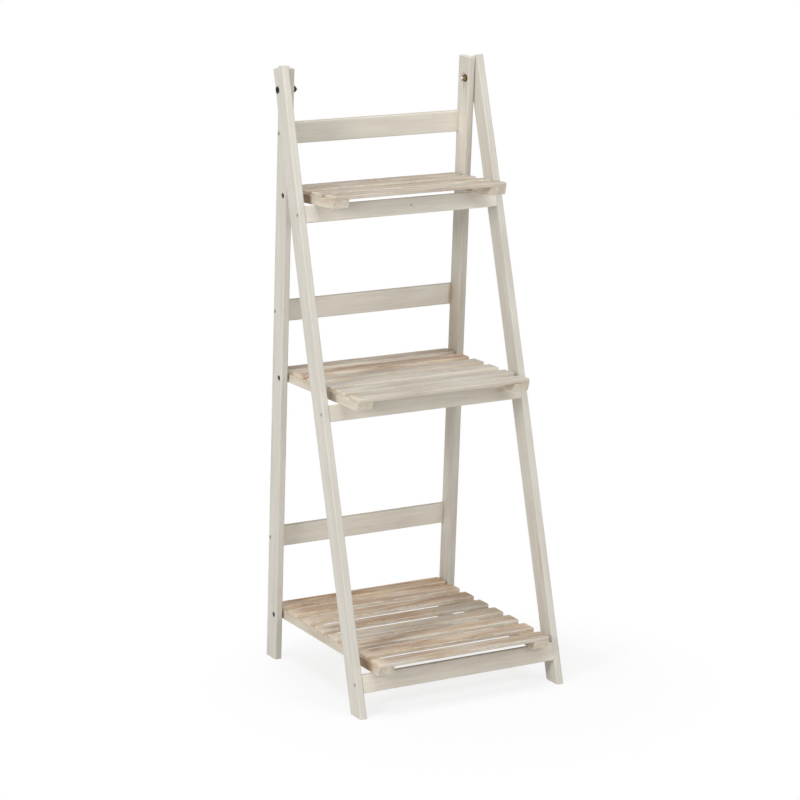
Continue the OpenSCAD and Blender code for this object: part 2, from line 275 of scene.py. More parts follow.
def make_wood_group():
    """Board coordinates in metres -> colour, roughness and height of washed pine.
    The sizes are in millimetres. Wash is how much of the wood the wash covers, Edge
    Wash is what the narrow faces have more, and Figure is how much grain shows."""
    tree = bpy.data.node_groups.new("washed_wood", "ShaderNodeTree")
    for in_out, kind, names in (
        ("INPUT", "NodeSocketVector", ("Board",)),
        ("INPUT", "NodeSocketFloat", ("Half Length", "Half Width", "Half Thickness")),
        ("INPUT", "NodeSocketFloat", ("Bend", "Bend From", "Seed", "Wash", "Edge Wash")),
        ("INPUT", "NodeSocketFloat", ("Figure", "Warmth")),
        ("INPUT", "NodeSocketColor", ("Tint",)),
        ("OUTPUT", "NodeSocketColor", ("Color",)),
        ("OUTPUT", "NodeSocketFloat", ("Roughness", "Height")),
        ("OUTPUT", "NodeSocketVector", ("Spot",)),
    ):
        for name in names:
            tree.interface.new_socket(name=name, in_out=in_out, socket_type=kind)
    n = Nodes(tree)
    given = n.add("NodeGroupInput").outputs
    result = n.add("NodeGroupOutput").inputs
    seed, figure = given["Seed"], given["Figure"]

    u, v, w = n.split(n.vector("MULTIPLY", given["Board"], (1000, 1000, 1000)))
    above = n.math("MAXIMUM", n.minus(u, given["Bend From"]), 0.0)
    w = n.plus(w, n.times(above, above, given["Bend"]))
    n.put(result["Spot"], n.combine(u, v, w))

    def layer(name):
        """One of WOOD_NOISE on this board."""
        along, across, shift, detail, rough, distortion = WOOD_NOISE[name]
        stretched = n.combine(
            n.plus(n.over(u, along), n.plus(seed, shift)),
            n.plus(n.over(v, across), n.times(seed, 1.7)),
            n.over(w, across),
        )
        return n.noise(stretched, 1.0, detail, rough, distortion)

    def centred(value, amount):
        """A noise value round 0, scaled."""
        return n.times(n.minus(value, 0.5), amount)

    # Growth rings round a wandering heart well below the board
    heart = n.times(n.math("SINE", n.times(seed, 2.3)), HEART_ASIDE)
    ring_v = n.plus(v, centred(layer("drift"), HEART_DRIFT), heart)
    radius = n.vector("LENGTH", n.combine(ring_v, n.plus(w, HEART_DEPTH), 0.0))
    rings = n.plus(n.over(radius, RING_SPACING), n.times(layer("wobble"), RING_WOBBLE))
    phase = n.math("FRACT", rings)
    late = n.times(n.ramp(phase, 0.25, 0.86), n.ramp(phase, 0.9, 1.0, 1.0, 0.0))

    # Fibres, pores and slow changes of tone make the bare wood
    fibre, fine, tone = layer("fibre"), layer("fine"), layer("tone")
    pores = n.ramp(layer("pores"), 0.68, 0.78)
    darkness = n.plus(
        n.times(late, 0.24),
        n.ramp(fibre, 0.3, 0.72, 0.0, 0.28),
        n.ramp(tone, 0.32, 0.66, -0.2, 0.62),
    )
    darkness = n.math("ADD", darkness, n.times(given["Warmth"], 0.5), clamp=True)
    wood = n.mix(darkness, WOOD_LIGHT, WOOD_DARK)

    # How near a point is to the long edges, to the ends and to a narrow face
    from_side = n.minus(given["Half Width"], n.math("ABSOLUTE", v))
    from_face = n.minus(given["Half Thickness"], n.math("ABSOLUTE", w))
    from_end = n.minus(given["Half Length"], n.math("ABSOLUTE", u))
    edge = n.ramp(n.math("MAXIMUM", from_side, from_face), 0.3, 2.4, 1.0, 0.0)
    end = n.ramp(from_end, 0.25, 0.6, 1.0, 0.0)
    ragged = centred(layer("ragged"), RAGGED_EDGE)
    narrow = n.ramp(n.plus(from_side, ragged), 0.6, 2.0, 1.0, 0.0)

    # The wash lies in streaks, thicker in the grain, rubbed thin on the edges
    streak = layer("streak")
    worn = n.ramp(layer("worn"), 0.42, 0.66)
    broken = n.ramp(layer("broken"), 0.46, 0.56)
    uneven = n.plus(
        centred(streak, 0.9),
        centred(layer("patch"), 1.3),
        centred(fibre, -0.5),
        n.times(late, -0.08),
    )
    cover = n.plus(
        given["Wash"],
        n.times(uneven, figure),
        n.times(narrow, given["Edge Wash"]),
        n.times(edge, worn, -0.1),
        n.times(end, 0.16),
        n.times(edge, broken, figure, 0.5),
    )
    wash = n.ramp(cover, 0.0, 1.0, 0.04, 0.98)
    grey = n.ramp(layer("grey"), 0.3, 0.72)
    grey = n.times(grey, n.plus(n.times(figure, 0.6), 0.16))
    stain = n.plus(n.times(figure, 0.24), 0.05)
    paint = n.mix(n.times(darkness, stain), n.mix(grey, WASH_WHITE, WASH_GREY), wood)

    # Bare ends and open pores show through the wash
    color = n.mix(wash, wood, paint)
    bare = n.minus(1.0, n.times(wash, 0.86))
    color = n.mix(n.times(end, bare, 0.35), color, WOOD_END)
    color = n.mix(n.times(pores, bare, 0.42), color, PORE)
    n.put(result["Color"], n.mix(1.0, color, given["Tint"], blend="MULTIPLY"))
    rough = n.plus(0.6, n.times(wash, 0.14), n.ramp(fibre, 0.3, 0.7, -0.05, 0.08))
    n.put(result["Roughness"], rough)
    height = n.plus(
        n.times(fibre, 0.55),
        n.times(fine, 0.25),
        n.times(late, 0.2),
        n.times(pores, -0.5),
        n.times(narrow, streak, -0.5),
    )
    n.put(result["Height"], height)
    return tree


WOOD_GROUP = make_wood_group()

KNOT = srgb(128, 98, 74)
RUST = srgb(176, 122, 98)
# Brown of bare wood, also used to paint shade under the slats' front edges, in the front
# leg's shadow and where the shelves meet the legs
BARE_WOOD_AND_SHADE = srgb(166, 128, 90)
# Duller brown of bare wood, deepened into the front leg's painted shadow on the upper cleats
BARE_WOOD_AND_LEG_SHADOW = srgb(150, 122, 94)
# Tan: paints shade on the right rear leg and under the middle shelf's right end, and also
# marks the right front leg
TAN = srgb(182, 156, 128)
# Paints light on the upper part of the right rear leg
PAINTED_LIGHT_PALE = srgb(240, 233, 222)
# Grey that paints shade on the top rung's left end, which the lamp on the left lights
# brightly
RUNG_END_PAINTED_SHADE = srgb(204, 199, 190)
CREAM = srgb(224, 209, 188)
# Marks on boards: centre and radii in board millimetres, softness, colour, strength
MARKS = {
    "front_rung_top": [
        ((17, 0.5, 6.5), (4.2, 3.0, 3), 0.5, KNOT, 0.32),
        ((21.5, -4.0, 6.5), (2.4, 2.0, 3), 0.6, KNOT, 0.26),
        # Painted shade: dulls the left end of the rung's front face
        ((-165, 0, 6.5), (42, 60, 12), 1.0, RUNG_END_PAINTED_SHADE, 0.55),
    ],
    "rear_leg_right": [
        ((496, -3, 6.5), (26, 3.2, 3), 0.9, RUST, 0.55),
        ((504, 0, 6.5), (10, 8.5, 3), 0.6, RUST, 0.5),
        ((30, 8, 6.5), (9, 3.5, 3), 0.8, KNOT, 0.2),
        # Painted light on the upper part of the leg, and painted shade lower down, where the
        # shelves shade it
        ((400, 0, 6.5), (170, 40, 14), 0.9, PAINTED_LIGHT_PALE, 0.5),
        ((70, 0, 6.5), (110, 40, 14), 0.9, TAN, 0.4),
    ],
    # Painted shadow of the front leg on the left cleats' outer sides, browned like bare wood
    "cleat_top_left": [((16, 14.5, 0), (30, 9, 22), 0.45, BARE_WOOD_AND_LEG_SHADOW, 0.85)],
    "cleat_middle_left": [((-34, 14.5, 0), (26, 9, 22), 0.5, BARE_WOOD_AND_LEG_SHADOW, 0.6)],
    "cleat_bottom_left": [((-146, 14.5, 0), (34, 9, 22), 0.45, BARE_WOOD_AND_SHADE, 0.75)],
    "rear_rail_middle": [((168, 2, 5), (6, 30, 9), 0.6, BARE_WOOD_AND_SHADE, 0.55)],
    "rear_rail_bottom": [((172, 2, 5), (5, 30, 9), 0.7, BARE_WOOD_AND_SHADE, 0.4)],
    # Painted shade: brown at the lower front edge of the front slat's left end
    "slat_top_1": [((-167, -13, -1), (4, 5, 5), 0.6, BARE_WOOD_AND_SHADE, 0.5)],
    "slat_bottom_1": [((168, -4, 0), (4, 15, 8), 0.5, RUST, 0.5)],
    # Painted shade: a brown line along the lower front edge of the front slat's right part
    "slat_middle_1": [((140, -16, -3), (34, 5, 1.8), 0.6, BARE_WOOD_AND_SHADE, 0.45)],
    # Painted shade, partly bare wood: tan on the rung's upper front under the shelf's right
    # end
    "front_rung_middle": [((148, 5, 6.5), (15, 6, 4), 0.7, TAN, 0.45)],
    "front_leg_right": [
        # Brown spots where the three shelves meet the leg's inner face: painted shade,
        # partly bare wood
        ((332, 6, 6.5), (6, 9, 4), 0.8, BARE_WOOD_AND_SHADE, 0.4),
        ((-340, -12, 6.5), (64, 8, 6), 1.0, TAN, 0.35),
        ((-12, -6, 6.5), (7, 10, 4), 0.8, BARE_WOOD_AND_SHADE, 0.45),
        ((-476, -22, 6.5), (6, 9, 4), 0.8, BARE_WOOD_AND_SHADE, 0.4),
    ],
    "slat_middle_3": [
        ((-167, -13, 1), (6, 5, 5), 0.6, BARE_WOOD_AND_SHADE, 0.6),
        ((83, -3, 3.5), (7, 4, 3), 0.6, KNOT, 0.4),
    ],
    "slat_middle_2": [
        ((-40, 6, 3.5), (9, 3, 3), 0.8, KNOT, 0.3),
        ((-166, -4, 3), (6, 9, 5), 0.8, BARE_WOOD_AND_SHADE, 0.4),
    ],
    "slat_bottom_3": [((-96, 4, 3.5), (8, 5, 3), 0.6, KNOT, 0.5)],
    "slat_bottom_5": [((62, -5, 3.5), (6, 4, 3), 0.6, KNOT, 0.45)],
    "slat_top_2": [
        ((44, 2, 3.5), (6, 4, 3), 0.7, KNOT, 0.35),
        ((-164, -12, 0), (7, 6, 6), 0.6, BARE_WOOD_AND_SHADE, 0.6),
    ],
}
# The left ends of the slats were painted along with the cleats: how far in, and how
# thickly
END_PAINT = {"top": (6, 0.6), "middle": (6, 0.6), "bottom": (32, 0.7)}
SLAT_END = -168
for level, (reach, strength) in END_PAINT.items():
    for number in range(1, SLATS[level] + 1):
        end_paint = ((SLAT_END, 0, 0), (reach, 50, 20), 0.8, CREAM, strength)
        MARKS.setdefault(f"slat_{level}_{number}", []).insert(0, end_paint)
# Where a mark's edge lies, in its radii, and how ragged it is
MARK_EDGE = 1.25
MARK_RAGGED = 0.5
# Brads: distance of a pair from the slat's middle, and between the two
BRAD_AT = 153.5
BRAD_SPACING = 6.4
# Painted shade of the holes round the brads
BRAD_HOLE_SHADE = srgb(92, 72, 56)
# Painted light on the slats' front faces, which the lamps leave darker, and painted
# shade on the cross boards' upper faces, which the lamp above lights brightly
FRONT_FACE_LIGHT = {
    "top": (1.24, 1.22, 1.2, 1),
    "middle": (1.14, 1.13, 1.09, 1),
    "bottom": (1.22, 1.22, 1.2, 1),
}
UPPER_FACE_SHADE = (0.7, 0.69, 0.67, 1)
WOOD_SPECULAR = 0.3
GRAIN_STRENGTH = 0.5
GRAIN_DEPTH = 0.45 * MM


def face_light_and_shade(n, board, color):
    """Paints light on the slats' front faces and shade on the cross boards' upper faces."""
    kind, level = board.node.split("_")[:2]
    if kind == "slat":
        axis, tint = -board.turn[1], FRONT_FACE_LIGHT[level]
    elif level in ("rung", "rail"):
        axis, tint = board.turn[1], UPPER_FACE_SHADE
    else:
        return color
    facing = n.vector("DOT_PRODUCT", n.add("ShaderNodeTexCoord").outputs["Normal"], axis)
    return n.mix(n.ramp(facing, 0.5, 0.85), color, n.mix(1.0, color, tint, blend="MULTIPLY"))


def marked(n, board, spot, color):
    """Adds the board's knots, stains and bare patches, and patches of painted light and
    shade.
    """
    for centre, radii, soft, stain, strength in MARKS.get(board.node, ()):
        away = n.vector("DIVIDE", n.vector("SUBTRACT", spot, centre), radii)
        ring = n.noise(away, scale=1.6, detail=2)
        far = n.plus(n.vector("LENGTH", away), n.times(ring, MARK_RAGGED))
        color = n.mix(n.ramp(far, MARK_EDGE - soft, MARK_EDGE, strength, 0.0), color, stain)
    return color


def shade_round_brads(n, board, spot, color):
    """Darkens the wood round the four brads on a slat's top: painted shade of their holes.
    """
    u, v, w = n.split(spot)
    off = n.minus(n.math("ABSOLUTE", u), BRAD_AT)
    off = n.minus(n.math("ABSOLUTE", off), BRAD_SPACING / 2)
    far = n.vector("LENGTH", n.combine(off, v, n.minus(w, board.half[2] / MM)))
    return n.mix(n.ramp(far, 0.7, 1.7, 0.75, 0.0), color, BRAD_HOLE_SHADE)


def wood_material(board, seed, wash, edge_wash, figure, warmth, tint):
    """Washed wood whose grain runs along one board, with that board's marks."""
    made, n, shader = new_material("wood_" + board.node)
    place = n.add("ShaderNodeMapping")
    place.inputs["Rotation"].default_value = board.turn.to_euler("XYZ")
    place.inputs["Location"].default_value = -board.middle
    n.put(place.inputs["Vector"], n.add("ShaderNodeTexCoord").outputs["Object"])
    wood = n.add("ShaderNodeGroup", node_tree=WOOD_GROUP)
    for name, value in (
        ("Board", place.outputs[0]),
        ("Half Length", board.half[0] / MM),
        ("Half Width", board.half[1] / MM),
        ("Half Thickness", board.half[2] / MM),
        ("Bend", board.bend * MM),
        ("Bend From", board.bend_from / MM),
        ("Seed", seed),
        ("Wash", wash),
        ("Edge Wash", edge_wash),
        ("Figure", figure),
        ("Warmth", warmth),
        ("Tint", srgb(*tint)),
    ):
        n.put(wood.inputs[name], value)
    spot = wood.outputs["Spot"]
    color = marked(n, board, spot, face_light_and_shade(n, board, wood.outputs["Color"]))
    if board.node.startswith("slat"):
        color = shade_round_brads(n, board, spot, color)
    n.put(shader.inputs["Base Color"], color)
    n.put(shader.inputs["Roughness"], wood.outputs["Roughness"])
    n.put(shader.inputs["Specular IOR Level"], WOOD_SPECULAR)
    grain = n.bump(wood.outputs["Height"], GRAIN_STRENGTH, GRAIN_DEPTH)
    n.put(shader.inputs["Normal"], grain)
    return made


# How far each kind of board is darkened: partly its wash, partly painted light and
# shade that evens out how brightly the lamps light each board
LEG_TINT = (234, 235, 234)
RUNG_TINT = (240, 239, 235)
PALE_TINT = (252, 252, 250)
CLEAT_TINT = (243, 243, 237)
TOP_SLAT_TINT = (210, 212, 212)
FRONT_SLAT_TINT = (219, 221, 221)
BACK_SLAT_TINT = (238, 241, 242)
# Seed, wash, edge wash, figure, warmth and tint of each board: the frames are
# thickly washed and smooth, the slats are thinly washed on top
FINISH = {
    "front_leg_left": (1.3, 0.97, 0.0, 0.20, 0.0, LEG_TINT),
    "front_leg_right": (2.9, 0.92, 0.0, 0.22, 0.1, LEG_TINT),
    "rear_leg_left": (4.1, 0.97, 0.0, 0.20, 0.0, LEG_TINT),
    "rear_leg_right": (5.7, 0.86, 0.0, 0.30, 0.15, LEG_TINT),
    "front_rung_top": (7.3, 0.92, 0.0, 0.2, 0.1, PALE_TINT),
    "front_rung_middle": (8.9, 0.92, 0.0, 0.22, 0.1, RUNG_TINT),
    "front_rung_bottom": (10.1, 0.88, 0.0, 0.2, 0.15, RUNG_TINT),
    "rear_rail_top": (11.9, 0.95, 0.0, 0.20, 0.0, PALE_TINT),
    "rear_rail_middle": (13.3, 0.92, 0.0, 0.22, 0.05, PALE_TINT),
    "rear_rail_bottom": (14.7, 0.92, 0.0, 0.22, 0.0, PALE_TINT),
    "cleat_top_left": (16.3, 0.72, 0.1, 0.5, 0.0, CLEAT_TINT),
    "cleat_top_right": (17.9, 0.70, 0.1, 0.5, 0.1, CLEAT_TINT),
    "cleat_middle_left": (19.1, 0.74, 0.1, 0.5, 0.0, CLEAT_TINT),
    "cleat_middle_right": (20.7, 0.72, 0.1, 0.5, 0.1, CLEAT_TINT),
    "cleat_bottom_left": (22.3, 0.66, 0.1, 0.5, 0.1, CLEAT_TINT),
    "cleat_bottom_right": (23.9, 0.64, 0.1, 0.5, 0.15, CLEAT_TINT),
    "slat_top_1": (25.1, 0.66, 0.02, 0.62, 0.0, TOP_SLAT_TINT),
    "slat_top_2": (26.7, 0.60, 0.02, 0.66, 0.1, TOP_SLAT_TINT),
    "slat_top_3": (28.3, 0.58, 0.02, 0.66, 0.15, TOP_SLAT_TINT),
    "slat_top_4": (29.9, 0.60, 0.02, 0.66, 0.15, TOP_SLAT_TINT),
    "slat_middle_1": (31.1, 0.72, 0.04, 0.45, 0.0, FRONT_SLAT_TINT),
    "slat_middle_2": (32.7, 0.76, 0.04, 0.45, 0.0, FRONT_SLAT_TINT),
    "slat_middle_3": (34.3, 0.72, 0.04, 0.45, 0.05, BACK_SLAT_TINT),
    "slat_middle_4": (35.9, 0.64, 0.04, 0.55, 0.1, BACK_SLAT_TINT),
    "slat_middle_5": (37.1, 0.50, 0.16, 0.8, 0.45, PALE_TINT),
    "slat_middle_6": (38.7, 0.54, 0.22, 0.8, 0.4, BACK_SLAT_TINT),
    "slat_bottom_1": (40.3, 0.50, 0.12, 0.8, 0.0, FRONT_SLAT_TINT),
    "slat_bottom_2": (41.9, 0.38, 0.2, 0.8, 0.0, BACK_SLAT_TINT),
    "slat_bottom_3": (43.1, 0.37, 0.2, 0.8, 0.2, BACK_SLAT_TINT),
    "slat_bottom_4": (44.7, 0.54, 0.12, 0.9, 0.05, BACK_SLAT_TINT),
    "slat_bottom_5": (46.3, 0.46, 0.12, 0.9, 0.15, BACK_SLAT_TINT),
    "slat_bottom_6": (47.9, 0.37, 0.2, 0.85, 0.15, PALE_TINT),
    "slat_bottom_7": (49.1, 0.40, 0.2, 0.85, 0.1, PALE_TINT),
    "slat_bottom_8": (50.7, 0.30, 0.12, 0.85, 0.15, PALE_TINT),
}


# ---- mesh helpers ----------------------------------------------------------------
def loft(rings):
    """Points and faces of a closed skin over rings that have equally many points."""
    count = len(rings[0])
    points = [point for ring in rings for point in ring]
    faces = []
    for k in range(len(rings) - 1):
        near, far = k * count, (k + 1) * count
        for i in range(count):
            j = (i + 1) % count
            faces.append((near + i, near + j, far + j, far + i))
    for ring in (0, len(rings) - 1):
        centre = sum(rings[ring], Vector()) / count
        points.append(centre)
        for i in range(count):
            j = (i + 1) % count
            faces.append((ring * count + i, ring * count + j, len(points) - 1))
    return points, faces


def make_piece(name, skins, sharp):
    """One object from several closed skins, smooth but for edges over an angle."""
    points, faces = [], []
    for skin_points, skin_faces in skins:
        start = len(points)
        points += skin_points
        faces += [tuple(start + i for i in face) for face in skin_faces]
    mesh = bpy.data.meshes.new(name)
    mesh.from_pydata(points, [], faces)
    shell = bmesh.new()
    shell.from_mesh(mesh)
    bmesh.ops.recalc_face_normals(shell, faces=shell.faces)
    shell.to_mesh(mesh)
    shell.free()
    mesh.shade_smooth()
    mesh.set_sharp_from_angle(angle=math.radians(sharp))
    made = bpy.data.objects.new(name, mesh)
    bpy.context.scene.collection.objects.link(made)
    return made


def islands(node):
    """The boxes of a CAD node's separate solids, in millimetres."""
    shell = bmesh.new()
    shell.from_mesh(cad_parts[node].data)
    bmesh.ops.remove_doubles(shell, verts=shell.verts, dist=1e-6)
    left, boxes = set(shell.verts), []
    while left:
        start = left.pop()
        group, queue = [start], [start]
        while queue:
            for edge in queue.pop().link_edges:
                for vert in edge.verts:
                    if vert in left:
                        left.remove(vert)
                        group.append(vert)
                        queue.append(vert)
        low = [min(v.co[i] for v in group) / MM for i in range(3)]
        high = [max(v.co[i] for v in group) / MM for i in range(3)]
        boxes.append((low, high))
    shell.free()
    return sorted(boxes)


# ---- slats: sawn planks, each a little bowed, crooked and worn --------------------------
# Millimetres. The cleats hold a slat straight beyond this distance from its middle
CLEAT_INNER = 140
SLAT_TOP_RADIUS = 1.9
SLAT_LOW_RADIUS = 1.1
CORNER_STEPS = 4
# Distance between a plank's cross sections, length and depth of its eased ends
STATION = 2.6
END_EASE = 0.7
END_STEP = 0.25
END_INSET = 0.55
# How far a plank waves up and sideways, how rough its faces are, and how deep its
# corners are chipped where the noise is above a level
WAVE_UP = 0.12
WAVE_BACK = 0.25
SAWN = 0.09
CHIP_DEPTH = 0.55
CHIP_LEVEL = 0.12
LOW_CORNER_CHIP = 0.3
# Thickness, width, upward bow and backward crook at the middle of each slat
SLAT_FORM = {
    "slat_top_1": (7.1, 32.2, 0.2, 0.3),
    "slat_top_2": (7.0, 32.4, -0.2, -0.3),
    "slat_top_3": (7.2, 32.0, 0.3, 0.2),
    "slat_top_4": (7.0, 32.2, 0.0, 0.4),
    "slat_middle_1": (7.1, 32.4, 0.1, -0.2),
    "slat_middle_2": (7.3, 32.8, 0.3, 0.3),
    "slat_middle_3": (7.1, 32.2, -0.2, -0.4),
    "slat_middle_4": (7.2, 32.6, 0.2, 0.2),
    "slat_middle_5": (7.0, 32.4, 0.3, -0.2),
    "slat_middle_6": (7.1, 32.2, -0.1, 0.3),
    "slat_bottom_1": (6.9, 31.9, 0.0, 0.2),
    "slat_bottom_2": (7.5, 32.8, 0.3, 0.2),
    "slat_bottom_3": (7.6, 33.0, 0.1, -0.3),
    "slat_bottom_4": (7.1, 32.4, -0.4, 0.2),
    "slat_bottom_5": (7.1, 32.2, -0.2, 0.3),
    "slat_bottom_6": (7.5, 32.6, 0.2, 0.0),
    "slat_bottom_7": (7.6, 33.0, 0.2, -0.2),
    "slat_bottom_8": (7.3, 32.4, 0.1, 0.0),
}


def section(width, thick):
    """Points round a slat: place, outward direction, and how much it is chipped."""
    # Side, height, first direction, radius, and steps along the flat that follows
    corners = (
        (1, 1, 0, SLAT_TOP_RADIUS, 7),
        (-1, 1, 90, SLAT_TOP_RADIUS, 3),
        (-1, -1, 180, SLAT_LOW_RADIUS, 5),
        (1, -1, 270, SLAT_LOW_RADIUS, 3),
    )

    def on_corner(corner, degrees):
        """A point on a rounded corner, and the direction outwards there."""
        side, up, _, radius, _ = corner
        angle = math.radians(degrees)
        out = Vector((math.cos(angle), math.sin(angle)))
        centre = Vector((side * (width / 2 - radius), up * (thick / 2 - radius)))
        return centre + radius * out, out

    loop = []
    for corner, following in zip(corners, corners[1:] + corners[:1]):
        _, up, start, _, flats = corner
        chipped = 1.0 if up > 0 else LOW_CORNER_CHIP
        for step in range(CORNER_STEPS + 1):
            place, out = on_corner(corner, start + 90 * step / CORNER_STEPS)
            loop.append((place, out, chipped))
        target, out = on_corner(following, start + 90)
        for step in range(1, flats):
            loop.append((place.lerp(target, step / flats), out, 0.0))
    return loop


def plank(name, seed):
    """Replaces one slat with a plank that has that slat's ends and place."""
    board = BOARDS[name]
    thick, width, bow, crook = SLAT_FORM[name]
    board.middle[2] += thick * MM / 2 - board.half[2]
    board.half[1], board.half[2] = width * MM / 2, thick * MM / 2
    half = board.half[0] / MM
    inner = half - END_EASE
    steps = int(2 * half / STATION)
    places = [-inner + 2 * inner * i / steps for i in range(steps + 1)]
    places = [-half, END_STEP - half] + places + [half - END_STEP, half]
    loop = section(width, thick)
    rings = []
    for u in places:
        span = max(0.0, 1 - (u / CLEAT_INNER) ** 2)
        lift = span * (bow + WAVE_UP * noise.noise(Vector((u / 60, seed, 0.5))))
        shift = span * (crook + WAVE_BACK * noise.noise(Vector((u / 70, seed, 9.5))))
        inset = END_INSET * max(0.0, 1 - (half - abs(u)) / END_EASE) ** 2
        ring = []
        for (v, w), out, chipped in loop:
            rough = SAWN * noise.noise(Vector((u / 8, v / 3 + seed * 5, w / 3)))
            chip = noise.noise(Vector((u / 4.5, v / 9 + seed * 3, w / 5 + 4)))
            rough -= chipped * CHIP_DEPTH * max(0.0, chip - CHIP_LEVEL)
            v += out.x * (rough - inset) + shift
            w += out.y * (rough - inset) + lift
            ring.append(board.place(u * MM, v * MM, w * MM))
        rings.append(ring)
    piece = make_piece("plank_" + name[5:], [loft(rings)], 50)
    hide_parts(name)
    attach(piece, name.split("_")[1] + "_shelf")
    return piece


PLANKS = {name: plank(name, 1.7 * i + 0.3) for i, name in enumerate(SLAT_FORM)}

# Painted shade inside the counterbores of the shelves' screws
BORE_SHADE = srgb(38, 33, 29)
BORE_RADII = (5.5, 5.5, 4)
for level in SLATS:
    for low, high in islands("shelf_screws_" + level):
        side, outer = ("left", low[0]) if low[0] < 0 else ("right", high[0])
        board = BOARDS["rear_leg_" + side]
        mouth = Vector((outer, (low[1] + high[1]) / 2, (low[2] + high[2]) / 2))
        mouth = board.turn @ mouth - board.middle / MM
        MARKS.setdefault(board.node, []).append((mouth, BORE_RADII, 0.25, BORE_SHADE, 0.88))


def dress(mesh, skin):
    """Gives a mesh one material in place of what it has."""
    mesh.materials.clear()
    mesh.materials.append(skin)


for name, board in BOARDS.items():
    mesh = PLANKS[name].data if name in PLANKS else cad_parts[name].data
    dress(mesh, wood_material(board, *FINISH[name]))


# ---- metal -----------------------------------------------------------------------
SCRATCH_SCALE = 2200
SCRATCH_DEPTH = 0.15 * MM


def metal_material(name, dark, light, rough, grain_mm, metallic=1.0):
    """Worn plated steel: mottled colour and roughness, fine scratches."""
    made, n, shader = new_material(name)
    place = n.add("ShaderNodeTexCoord").outputs["Object"]
    mottle = n.noise(place, scale=1 / (grain_mm * MM), detail=4, rough=0.6)
    roughness = n.ramp(mottle, 0.3, 0.7, rough - 0.08, rough + 0.12)
    scratches = n.noise(place, scale=SCRATCH_SCALE, detail=2)
    n.put(shader.inputs["Metallic"], metallic)
    n.put(shader.inputs["Base Color"], n.mix(n.ramp(mottle, 0.38, 0.66), dark, light))
    n.put(shader.inputs["Roughness"], roughness)
    n.put(shader.inputs["Normal"], n.bump(scratches, 0.35, SCRATCH_DEPTH))
    return made


DARK_STEEL = metal_material("dark_steel", srgb(14, 14, 13), srgb(36, 34, 31), 0.4, 2.0, 0.6)
BRIGHT_STEEL = metal_material(
    "bright_steel", srgb(176, 174, 170), srgb(226, 224, 220), 0.3, 1.5
)
SCREW_STEEL = metal_material(
    "screw_steel", srgb(92, 88, 82), srgb(140, 135, 127), 0.45, 1.5, 0.7
)
WASHER_STEEL = metal_material(
    "washer_steel", srgb(112, 100, 82), srgb(170, 158, 136), 0.34, 2.5
)
NUT_STEEL = metal_material("nut_steel", srgb(66, 57, 38), srgb(168, 147, 98), 0.32, 1.4)
# Screw heads that the wash has been smeared or run over
SMEARED_STEEL = metal_material(
    "smeared_steel", srgb(112, 108, 100), srgb(172, 167, 157), 0.6, 1.0, 0.2
)
WASHED_STEEL = metal_material(
    "washed_steel", srgb(146, 140, 130), srgb(195, 189, 177), 0.6, 1.2, 0.0
)

for name in ["pivot_spacers", "nut_washers"] + ["shelf_spacers_" + level for level in SLATS]:
    dress(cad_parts[name].data, WASHER_STEEL)


def cross_recess(size, turn):
    """Depth of a cross-shaped screwdriver recess at a point of a head."""
    arm, reach, deep = 0.075 * size, 0.27 * size, 0.16 * size
    wall = 0.045 * size

    def depth(p, q):
        a = abs(p * math.cos(turn) + q * math.sin(turn))
        b = abs(q * math.cos(turn) - p * math.sin(turn))
        inside = min(max(a - arm, b - reach), max(b - arm, a - reach))
        return deep * min(1.0, max(0.0, -inside / wall))

    return depth


# Only this much of a head's profile, from its top, can have a recess
HEAD_ZONE = 1.5
TURNED_POINTS = 48


def turned(box, profile, recess, thread):
    """A round fastener along X in a solid's box, head outwards. The profile is
    [depth below the head's top, radius], and thread is (from, pitch, depth)."""
    low, high = box
    side = 1 if low[0] + high[0] > 0 else -1
    top = max(abs(low[0]), abs(high[0]))
    y, z = (low[1] + high[1]) / 2, (low[2] + high[2]) / 2
    start, pitch, cut = thread
    rings = []
    for deep, radius in profile:
        ring = []
        for i in range(TURNED_POINTS):
            turn = math.tau * i / TURNED_POINTS
            r, sink = radius, deep
            if deep < profile[0][0] + HEAD_ZONE:
                sink += recess(radius * math.cos(turn), radius * math.sin(turn))
            if deep > start:
                wave = math.cos(math.tau * deep / pitch - turn)
                r -= cut * (0.5 + 0.5 * wave) * min(1.0, (deep - start) / pitch)
            point = (side * (top - sink), y + r * math.cos(turn), z + r * math.sin(turn))
            ring.append(Vector(point) * MM)
        rings.append(ring)
    return loft(rings)


def length_of(box):
    return box[1][0] - box[0][0]


def dome(head_d, head_h, crown, count=16):
    """Profile of a head with a crown this high, from its middle to its underside."""
    rim, shoulder = head_d / 2, head_h - 0.6
    rows = [
        (shoulder - crown * math.sqrt(1 - 0.97 * (i / count) ** 2), rim * i / count)
        for i in range(1, count + 1)
    ]
    return rows + [(head_h - 0.25, rim), (head_h, rim - 0.25)]


def threaded(start, stop, radius, step=0.25):
    """Close rows along a shank, so that a thread can be cut into it."""
    count = int((stop - start) / step)
    return [(start + (stop - start) * i / count, radius) for i in range(count + 1)]


NUT_TURN = math.radians(30)
NUT_CHAMFER = math.radians(30)
NUT_POINTS = 72
# Where a nut's cross sections lie along it, from one face to the other
NUT_SHARES = (0.0, 0.0, 0.06, 0.12, 0.2, 0.8, 0.88, 0.94, 1.0, 1.0)
NUT_BORE = 0.6


